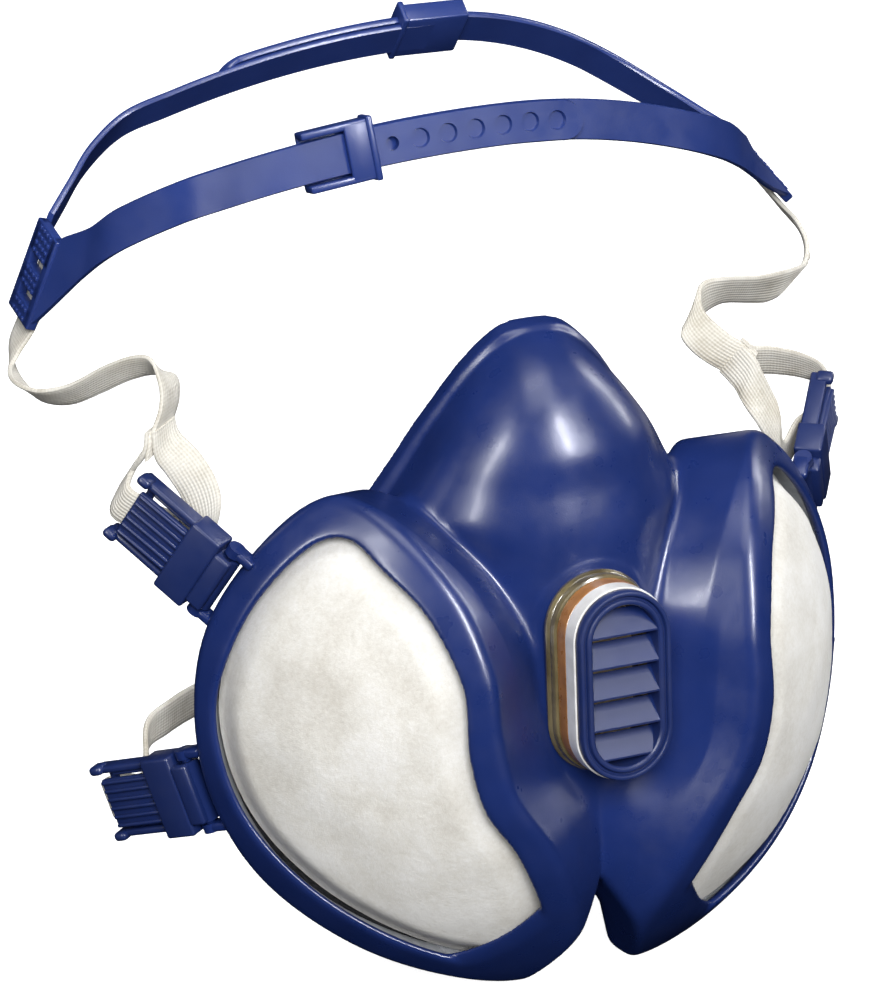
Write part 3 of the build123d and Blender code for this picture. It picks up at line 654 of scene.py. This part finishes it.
def buckle_mesh(place):
    """Box open at the strap's end, two hooked rails, ribbed thumb tongue, cross bar and knuckle."""
    bm = bmesh.new()
    middle = BUCKLE_START + BUCKLE_LENGTH / 2
    end = BUCKLE_START + BUCKLE_LENGTH
    tip = end + BUCKLE_RAIL
    box = block(bm, (middle, 0, 0.6), (BUCKLE_LENGTH, BUCKLE_WIDTH, BUCKLE_DEPTH), 0.7)
    faces = {f for v in box for f in v.link_faces}
    mouth = max((f for f in faces if abs(f.calc_center_median().x - end) < 0.01), key=lambda f: f.calc_area())
    bmesh.ops.inset_individual(bm, faces=[mouth], thickness=1.1, depth=0)
    bmesh.ops.translate(bm, vec=(-6.0, 0, 0), verts=list(mouth.verts))
    block(bm, ((BUCKLE_START - 1.4) / 2, 0, 0.6), (BUCKLE_START + 1.8, 15.4, BUCKLE_DEPTH - 0.2), 0.8)
    rod(bm, (0, -7.7, 0), (0, 7.7, 0), 2.6)
    for side in (-1, 1):
        block(bm, (end + BUCKLE_RAIL / 2 - 1.2, side * 8.4, -0.3), (BUCKLE_RAIL + 2.0, 1.9, 4.4), 0.75)
        block(bm, (tip - 1.6, side * 8.7, 1.2), (3.6, 2.3, 4.4), 1.0)
        block(bm, (end + 5.5, side * 6.9, -0.6), (13.0, 0.8, 3.2), 0.3)
    tongue = BUCKLE_RAIL - 2.0
    slope = Matrix.Rotation(radians(-1.5), 4, "Y")
    block(bm, (end + tongue / 2 - 0.8, 0, 1.9), (tongue + 1.0, 12.6, 1.5), 0.4, slope)
    for line in range(6):
        block(bm, (end + tongue / 2 - 0.4, (line - 2.5) * 2.25, 2.85), (tongue - 0.6, 0.95, 1.3), 0.42, slope)
    rod(bm, (tip - 3.5, -8.2, -1.3), (tip - 3.5, 8.2, -1.3), 1.1)
    return new_mesh("buckle", bm, place, radians(40))


def lug_mesh(place):
    """Two ears on the pod's side and the bar between them."""
    bm = bmesh.new()
    rod(bm, (0, -9.5, 0), (0, 9.5, 0), 1.3)
    for side in (-1, 1):
        block(bm, (-2.5, side * 9.6, -0.3), (6.4, 2.3, 4.2), 0.8)
        rod(bm, (0, side * 8.5, 0), (0, side * 10.7, 0), 2.25)
    return new_mesh("lug", bm, place, radians(40))


def buckles():
    for side, hand in ((1, "right"), (-1, "left")):
        for name in BUCKLE_FRAMES:
            place = buckle_matrix(name)
            if side < 0:
                place = MIRROR @ place
            body = "buckle_" + name[0] + hand[0]
            add_piece(f"swivel_buckle_{name}_{hand}", buckle_mesh(place), body, PLASTIC,
                      [f"buckle_{name}_{hand}"])
            add_piece(f"lug_{name}_{hand}", lug_mesh(place), "mask", RUBBER)


# ---------------------------------------------------------------- bands and elastics
STRAP_WIDTH = 9.5
STRAP_THICKNESS = 1.2
LONG_LEFT = [((-93.8, 68.5, 77.8), (0, 1, 0.19)), ((-96.6, 70.3, 68.3), (0, 1, 0.19)),
             ((-99.2, 71.7, 60.3), (0, 1, 0.15)), ((-103.4, 69.5, 54.8), (0.15, 1, 0)),
             ((-106.3, 63.5, 52), (0.4, 0.85, -0.2)), ((-106.2, 57, 50.1), (0.5, 0.75, -0.4)),
             ((-103, 51, 49), (0.4, 0.7, -0.6)), ((-97.9, 45, 51), (0.3, 0.6, -0.8)),
             ((-92.5, 38, 56.5), (0.15, 0.45, -0.85)), ((-88, 32, 60.8), (0.1, 0.5, -0.8)),
             ((-84.3, 27.5, 62.4), (0.3, 0.6, -0.6)), ((-81.9, 23.5, 59.9), (0.7, 0.7, -0.1)),
             ((-82.6, 21, 55.2), (0.75, 0.66, 0)), ((-85.2, 19.5, 49.6), (0.8, 0.6, 0.1))]
LONG_RIGHT = [((91.7, 67.9, 80.8), (0, 1, 0.19)), ((98.5, 69.3, 73.7), (0, 1, 0.19)),
              ((104.3, 70.4, 67.6), (0, 1, 0.19)), ((109.3, 69.8, 62), (0.1, 1, 0)),
              ((111.6, 66, 57.3), (0.3, 0.9, 0)), ((109.6, 60.5, 54), (0.5, 0.8, 0)),
              ((105, 55.5, 52), (0.7, 0.5, 0.2)), ((97, 50.5, 51), (0.5, 0.1, 0.6)),
              ((86.7, 46, 52.6), (0.2, -0.4, 0.85)), ((74.5, 41, 55.5), (0, -0.4, 0.85)),
              ((64.8, 36, 55.5), (0.2, 0.1, 0.9)), ((60.6, 31, 52.4), (0.8, 0.3, 0.5)),
              ((64, 26, 47.8), (0.8, -0.1, 0.6)), ((68.9, 21.8, 44.8), (0.5, -0.3, 0.8))]
LOOP_LEFT = ([((-87.2, 18.6, 47), (0.75, 0.4, 0.35)), ((-90.3, 20.6, 42.4), (0.5, -0.15, 0.8)),
              ((-92.8, 21.7, 37.7), (0.35, -0.38, 0.86))],
             [((-77.2, 11, 29.5), (0.5, -0.5, 0.6)), ((-78.2, 12.8, 36), (0.7, -0.4, 0.4)),
              ((-81.2, 15.2, 42), (0.8, 0, 0.4)), ((-84.4, 17.4, 46.5), (0.75, 0.4, 0.35))])
LOOP_RIGHT = ([((72.2, 21.2, 44.4), (-0.1, -0.35, 0.9)), ((78.3, 20.6, 43.6), (-0.2, -0.35, 0.87)),
               ((86, 20.4, 41.4), (-0.3, -0.37, 0.86)), ((92.8, 21.2, 37.6), (-0.35, -0.38, 0.86))],
              [((75.6, 11.2, 28.3), (0.1, 0.1, 0.9)), ((72.6, 13.3, 34.3), (0.6, 0.4, 0.5)),
               ((70.4, 16.3, 39.2), (0.5, 0.1, 0.7)), ((69.7, 18.9, 41.9), (0.4, -0.2, 0.8))])
# The long elastic's end is sewn in between the two ends of the loop.
FORKS = {-1: ((-86.6, 18.0, 45.6), (0.75, 0.4, 0.35)), 1: ((71.6, 20.0, 42.8), (0.2, -0.3, 0.85))}
LOOP_ENDS = {-1: (((-86.2, 19.9, 50.8), (0.8, 0.6, 0.1)), ((-84.8, 19.1, 51.0), (0.8, 0.6, 0.1))),
             1: (((67.9, 23.6, 46.4), (0.5, -0.3, 0.8)), ((67.4, 22.2, 45.2), (0.5, -0.3, 0.8)))}
NECK = [(86, 27.5, -34), (79, 31.5, -31.5), (66, 41, -32.5), (45, 53, -35), (28, 60, -37), (14.8, 62, -38)]
LOOP_THROUGH = [(29.5, 1.3), (24.8, 0.95), (20.5, -0.8), (16.0, -4.4), (9.0, -6.6)]
NECK_THROUGH = [(15.0, 0.4), (20.5, 0.9), (24.8, 0.95), (28.5, -0.3), (29.0, -3.2), (26.0, -4.9),
                (19.0, -5.2)]


def strap(stations, thickness, name, steps=8, edge=0.45, first=0, last=None):
    """A flat band through (point, across, width) stations, with rounded edges and a map along its length.

    first and last are the stations between which the piece runs, when it is only a part of the band.
    """
    rows = [(Vector(p), Vector(a).normalized(), w) for p, a, w in stations]
    rows = [rows[0]] + rows + [rows[-1]]
    fine = []
    for i in range(1, len(rows) - 2):
        a, b, c, d = rows[i - 1:i + 3]
        fine += [tuple(between(a[j], b[j], c[j], d[j], k / steps) for j in range(3)) for k in range(steps)]
    fine.append(rows[-2])
    fine = fine[first * steps:None if last is None else last * steps + 1]
    bm = bmesh.new()
    uv = bm.loops.layers.uv.new("along")
    t = thickness / 2
    rings, run = [], 0.0
    for i, (point, across, width) in enumerate(fine):
        ahead = fine[min(i + 1, len(fine) - 1)][0] - fine[max(i - 1, 0)][0]
        up = ahead.cross(across).normalized()
        side = across.normalized()
        if i:
            run += (point - fine[i - 1][0]).length
        w = width / 2
        rim = min(edge, w / 2)
        flat = [w - rim, w / 2, 0, -w / 2, rim - w]
        outline = [(-w, -t * 0.45)] + [(-s, -t) for s in flat] + [(w, -t * 0.45), (w, t * 0.45)]
        outline += [(s, t) for s in flat] + [(-w, t * 0.45)]
        ring = [bm.verts.new(point + side * s + up * u) for s, u in outline]
        rings.append((ring, [(s / width + 0.5, run) for s, _ in outline]))
    for (near, near_uv), (far, far_uv) in zip(rings, rings[1:]):
        for k in range(len(near)):
            m = (k + 1) % len(near)
            face = bm.faces.new((near[k], near[m], far[m], far[k]))
            for loop, at in zip(face.loops, (near_uv[k], near_uv[m], far_uv[m], far_uv[k])):
                loop[uv].uv = at
    bm.faces.new(rings[0][0][::-1])
    bm.faces.new(rings[-1][0])
    return new_mesh(name, bm, sharp=radians(60))


def local_point(place, x, z):
    return tuple(place @ Vector((x, 0, z)))


def loop_stations(side, branches):
    place = buckle_matrix("upper")
    if side < 0:
        place = MIRROR @ place
    across = tuple(place.to_3x3() @ Vector((0, 1, 0)))
    through = [(local_point(place, x, z), across) for x, z in LOOP_THROUGH]
    outer, inner = LOOP_ENDS[side]
    return [(p, a, STRAP_WIDTH) for p, a in [outer] + branches[0] + through + branches[1] + [inner]]


def neck_stations(side):
    place = buckle_matrix("lower")
    if side < 0:
        place = MIRROR @ place
    across = tuple(place.to_3x3() @ Vector((0, 1, 0)))
    through = [(local_point(place, x, z), across, STRAP_WIDTH) for x, z in NECK_THROUGH]
    return through + [((side * x, y, z), (0, 0.1 * side, 1.0), STRAP_WIDTH) for x, y, z in NECK]


UPPER_PART = 6                # stations of the right elastic's part next to the cradle
NECK_PART = 9                 # stations of the left neck elastic's part next to its buckle


def elastic(name, stations, replaces=(), first=0, last=None):
    """A woven piece that runs from one body to another, between two of its stations."""
    mesh = strap(stations, STRAP_THICKNESS, name, first=first, last=last)
    piece = add_piece(name, mesh, None, WEBBING, replaces)
    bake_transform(piece)


def elastics():
    for side, hand, run, branches in ((-1, "left", LONG_LEFT, LOOP_LEFT),
                                      (1, "right", LONG_RIGHT, LOOP_RIGHT)):
        long = [(p, a, STRAP_WIDTH) for p, a in [*run, FORKS[side]]]
        split = UPPER_PART if side > 0 else 0
        elastic("woven_elastic_" + hand, long,
                ["elastic_upper_" + hand], first=split)
        if split:                          # the right yoke moves with the other half of the cradle
            elastic("woven_elastic_top_" + hand, long, last=split)
        elastic("sewn_loop_" + hand, loop_stations(side, branches),
                ["elastic_loop_" + hand])
        neck = neck_stations(side)
        split = NECK_PART if side < 0 else None
        elastic("neck_elastic_" + hand, neck, ["neck_strap_" + hand],
                last=split)
        if split:                          # the left elastic's end moves with the hook it carries
            elastic("neck_elastic_end_" + hand, neck, first=split)


# ---------------------------------------------------------------- head cradle
CRADLE_CENTRE = (4.5, 62.0, 112.0)
CRADLE_LEAN = radians(10.7)
CRADLE_SPREAD = 27.0
BAND_WIDTH = 10.0
BAND_DEPTH = 1.5
BAND_TILT = radians(25)
KEEPER_LENGTH = 17.5
KEEPER_AT = {-1: 8.6, 1: -39.3}        # x of the keeper on the end of each half's inner band
TAIL_STOP = {-1: 24.5, 1: -46.5}       # x where each half's outer band ends
DIMPLES = 8                            # pressed in the outer band, from its end
DIMPLE_PITCH = 7.2
PEG_HOLE = 6                           # the dimple that goes right through
CREST = {-1: (5.0, 1.8, 330.0, 155.0), 1: (8.0, -1.0, 205.0, 84.0)}
YOKES = {-1: (102.0, -40.0, 16.0), 1: (93.0, -34.5, 43.0)}
YOKE_PLATE = (2.6, 13.0, 24.0)
YOKE_SLOTS = (2.6, -5.8)
ARMS = {(-1, -1): ([((-101.3, -6.3, -38.5), (0.27, 0, 0.96), 24.0),
                    ((-95.5, -14, -27.5), (0.15, 0.1, 0.98), 13.5),
                    ((-90.5, -21.5, -17.5), (0.05, 0.25, 0.95), 11.0)], -79.0),
        (-1, 1): ([((-98.3, 5.8, -32), (0.27, 0, 0.96), 10.0), ((-91, 12.5, -27), (0.2, -0.15, 0.95), 10.5),
                   ((-83, 20, -22), (0.1, -0.3, 0.93), 10.0)], -72.0),
        (1, -1): ([((92.5, -6.3, -33.5), (-0.68, 0, 0.73), 23.0),
                   ((82, -13.5, -24), (-0.35, 0.15, 0.92), 13.0),
                   ((71.5, -21, -15), (-0.1, 0.28, 0.95), 10.8)], 60.0),
        (1, 1): ([((88.5, 5.8, -29.5), (-0.6, 0, 0.8), 10.0), ((83.5, 12.5, -28.5), (-0.4, -0.15, 0.9), 10.5),
                  ((75.5, 20.5, -25), (-0.2, -0.3, 0.93), 10.0)], 62.0)}
CRADLE = frame_matrix(CRADLE_CENTRE, (1, 0, 0), (0, -sin(CRADLE_LEAN), cos(CRADLE_LEAN)))


def band_height(x, side):
    """Height of a band's arc at x, and its slope."""
    peak, top, left, right = CREST[side]
    radius = left if x < peak else right
    return top - (x - peak) ** 2 / (2 * radius), (peak - x) / radius


def band_station(x, side, lift):
    height = band_height(x, side)[0] + lift * sin(BAND_TILT)
    point = (x, side * (CRADLE_SPREAD + lift * cos(BAND_TILT)), height)
    return point, (0, -side * sin(BAND_TILT), cos(BAND_TILT)), BAND_WIDTH


def arm_stations(end, side, stop, lift, rounded):
    stations, x = ARMS[end, side]
    stations = list(stations)
    while (x - stop) * end > 7.2:
        stations.append(band_station(x, side, lift))
        x -= end * 12.0
    if rounded:                            # the tail's end narrows in a half circle
        half = BAND_WIDTH / 2
        for turn in range(5):
            angle = pi / 2 * turn / 4
            point, across, _ = band_station(stop + end * half * (1 - sin(angle)), side, lift)
            stations.append((point, across, max(BAND_WIDTH * cos(angle), 1.2)))
    else:
        stations.append(band_station(stop, side, lift))
    return stations


def on_band(x, side, lift):
    """A place on a band: X along it, Y across it, Z out of its face."""
    point, across, _ = band_station(x, side, lift)
    along = Vector((1, 0, band_height(x, side)[1])).normalized()
    return frame_matrix(point, along, along.cross(Vector(across)) * -side)


def cut_away(mesh, cutter, name):
    """The mesh less the cutter, both in metres."""
    solid = bpy.data.objects.new(name, mesh)
    tool = bpy.data.objects.new(name + "_tool", cutter)
    for made in (solid, tool):
        bpy.context.scene.collection.objects.link(made)
    cut = solid.modifiers.new("cut", "BOOLEAN")
    cut.object, cut.solver = tool, "EXACT"
    done = bpy.data.meshes.new_from_object(solid.evaluated_get(bpy.context.evaluated_depsgraph_get()))
    for made in (solid, tool):
        bpy.data.objects.remove(made)
    return done


def in_cradle(stations):
    return [(CRADLE @ Vector(p), CRADLE.to_3x3() @ Vector(a), w) for p, a, w in stations]


def yoke_mesh(end):
    """Slotted plate with a frame round it and raised grids between the slots."""
    thick, wide, tall = YOKE_PLATE
    bm = bmesh.new()
    room, slot = 7.4, 3.0
    for side in (-1, 1):
        block(bm, (0, side * (wide + room) / 4, 0), (thick, (wide - room) / 2, tall), 0.4)
    upper, lower = YOKE_SLOTS
    edges = (tall / 2, upper + slot / 2, upper - slot / 2, lower + slot / 2, lower - slot / 2, -tall / 2)
    for top, bottom in zip(edges[::2], edges[1::2]):
        block(bm, (0, 0, (top + bottom) / 2), (thick, wide - 1, top - bottom), 0.35)
        rows = max(int((top - bottom) / 1.7), 1)
        for row in range(rows):
            for column in range(4):
                level = bottom + (row + 0.5) * (top - bottom) / rows
                block(bm, (end * (thick / 2 + 0.1), (column - 1.5) * 2.0, level), (0.7, 1.2, 1.0), 0.25)
    reach, drop, outward = YOKES[end]
    seat = Matrix.Translation((end * reach, 0, drop)) @ Matrix.Rotation(-end * radians(outward), 4, "Y")
    bmesh.ops.transform(bm, matrix=seat, verts=bm.verts)
    return new_mesh("yoke", bm, CRADLE, radians(40))


def keeper_mesh(x, side, end):
    """Stepped collar where the band enters and two side rails where it leaves."""
    bm = bmesh.new()
    room, long = BAND_WIDTH + 1.0, KEEPER_LENGTH
    for y in (-1, 1):
        block(bm, (0, y * (room / 2 + 0.9), 0), (long, 1.8, 5.4), 0.5)
    block(bm, (0, 0, -2.05), (long, room + 2.4, 1.4), 0.4)
    block(bm, (end * (long / 2 - 3.4), 0, 2.05), (6.8, room + 2.4, 1.4), 0.4)
    block(bm, (end * (long / 2 - 0.4), 0, 0.2), (1.6, room + 4.6, 6.4), 0.5)
    return new_mesh("keeper", bm, CRADLE @ on_band(x, side, 1.0), radians(40))


def dimples(stop, side, end):
    """Cutters for the row of round dimples, one of them right through."""
    pits = bmesh.new()
    for hole in range(DIMPLES):
        place = CRADLE @ on_band(stop + end * (7.0 + hole * DIMPLE_PITCH), side, 1.0)
        through = hole == PEG_HOLE
        bmesh.ops.create_cone(pits, cap_ends=True, segments=32, radius1=1.7 if through else 2.1,
                              radius2=1.7 if through else 2.5, depth=7.0 if through else 1.4,
                              matrix=place @ Matrix.Translation((0, 0, 0 if through else 0.8)))
    return new_mesh("pits", pits)


def cradle_half(end):
    """Yoke, perforated tail band and inner band with its keeper, all one moulding."""
    tail_stop, keeper_x = TAIL_STOP[end], KEEPER_AT[end]
    tail = strap(in_cradle(arm_stations(end, end, tail_stop, 1.2, True)), BAND_DEPTH + 0.3, "tail", 8, 0.3)
    inner = strap(in_cradle(arm_stations(end, -end, keeper_x, -1.0, False)), BAND_DEPTH, "inner", 8, 0.3)
    tail = cut_away(tail, dimples(tail_stop, end, end), "tail_cut")
    whole = bmesh.new()
    for part in (tail, inner, yoke_mesh(end), keeper_mesh(keeper_x, -end, end)):
        whole.from_mesh(part)
    mesh = bpy.data.meshes.new("cradle_half")
    whole.to_mesh(mesh)
    whole.free()
    mesh.shade_smooth()
    mesh.set_sharp_from_angle(angle=radians(38))
    return mesh


def cradle():
    for end, hand, body in ((-1, "left", "cradle_a"), (1, "right", "cradle_b")):
        add_piece("head_cradle_" + hand, cradle_half(end), body, BAND_PLASTIC,
                  ["cradle_half_" + hand])


# ---------------------------------------------------------------- floor, light and camera
CAMERA_AZIMUTH = radians(-25.43)
CAMERA_ELEVATION = radians(23.256)
CAMERA_ROLL = radians(1.587)
CAMERA_TARGET = Vector((-16.268, 12.871, 23.717)) * MM
CAMERA_DISTANCE = 1.0
CAMERA_LENS = 149.84
FLOOR_LEVEL = -0.092
LIGHT_DISTANCE = 1.5


def towards(azimuth, elevation):
    return Vector((sin(azimuth) * cos(elevation), -cos(azimuth) * cos(elevation), sin(elevation)))


def make_camera():
    data = bpy.data.cameras.new("camera")
    data.lens = CAMERA_LENS
    data.sensor_width = 36.0
    data.clip_start, data.clip_end = 0.05, 50.0
    camera = bpy.data.objects.new("camera", data)
    bpy.context.scene.collection.objects.link(camera)
    back = towards(CAMERA_AZIMUTH, CAMERA_ELEVATION)
    turned = (-back).to_track_quat("-Z", "Y").to_matrix() @ Matrix.Rotation(CAMERA_ROLL, 3, "Z")
    camera.matrix_world = Matrix.Translation(CAMERA_TARGET + back * CAMERA_DISTANCE) @ turned.to_4x4()
    bpy.context.scene.camera = camera


def soft_box(name, azimuth, elevation, width, height, power, fill=True, shine=True):
    """A rectangular area light facing the mask; it can leave out its fill light or its highlights."""
    data = bpy.data.lights.new(name, "AREA")
    data.shape = "RECTANGLE"
    data.size, data.size_y = width, height
    data.energy = power
    light = bpy.data.objects.new(name, data)
    light.visible_diffuse = fill
    light.visible_glossy = shine
    bpy.context.scene.collection.objects.link(light)
    way = towards(radians(azimuth), radians(elevation))
    light.matrix_world = (Matrix.Translation(CAMERA_TARGET + way * LIGHT_DISTANCE)
                          @ (-way).to_track_quat("-Z", "Y").to_matrix().to_4x4())


def make_stage():
    mesh = bpy.data.meshes.new("floor")
    reach = 6.0
    mesh.from_pydata([(-reach, -reach, FLOOR_LEVEL), (reach, -reach, FLOOR_LEVEL),
                      (reach, reach, FLOOR_LEVEL), (-reach, reach, FLOOR_LEVEL)], [], [(0, 1, 2, 3)])
    floor = bpy.data.objects.new("floor", mesh)
    bpy.context.scene.collection.objects.link(floor)
    paper = Finish("pale_paper", (0.93, 0.93, 0.93), 0.9, Emission_Color=(1, 1, 1, 1), Emission_Strength=0.85)
    paper.bump(paper.grain(60.0), 0.0002, 0.2)
    mesh.materials.append(paper.material)
    floor.visible_diffuse = False
    floor.visible_glossy = False
    world = bpy.data.worlds.new("studio")
    world.use_nodes = True
    world.node_tree.nodes["Background"].inputs["Color"].default_value = (1.0, 1.0, 1.0, 1)
    world.node_tree.nodes["Background"].inputs["Strength"].default_value = 0.12
    bpy.context.scene.world = world
    world.cycles_visibility.glossy = False
    soft_box("key", -20, 34, 0.9, 0.7, 27, shine=False)
    soft_box("top", -10, 80, 0.8, 0.6, 8)
    soft_box("rim_right", 100, 28, 0.14, 0.9, 8)
    soft_box("strip_left", -70, 30, 0.07, 1.0, 20, fill=False)
    soft_box("strip_front", 18, 40, 0.16, 0.9, 46, fill=False)
    bpy.context.scene.view_settings.view_transform = "Standard"


def build():
    add_piece("facepiece_rubber", facepiece_mesh(), "mask", RUBBER, ["facepiece"])
    for side, name in ((1, "right"), (-1, "left")):
        pad = add_piece("filter_fleece_" + name, fleece_mesh(side), "mask", FLEECE,
                        ["filter_pad_" + name])
    outlet_valve()
    buckles()
    elastics()
    cradle()
    for name, finish in CARRIED_OVER.items():
        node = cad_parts[name]
        node.data.materials.clear()
        node.data.materials.append(finish)


build()
make_stage()
make_camera()
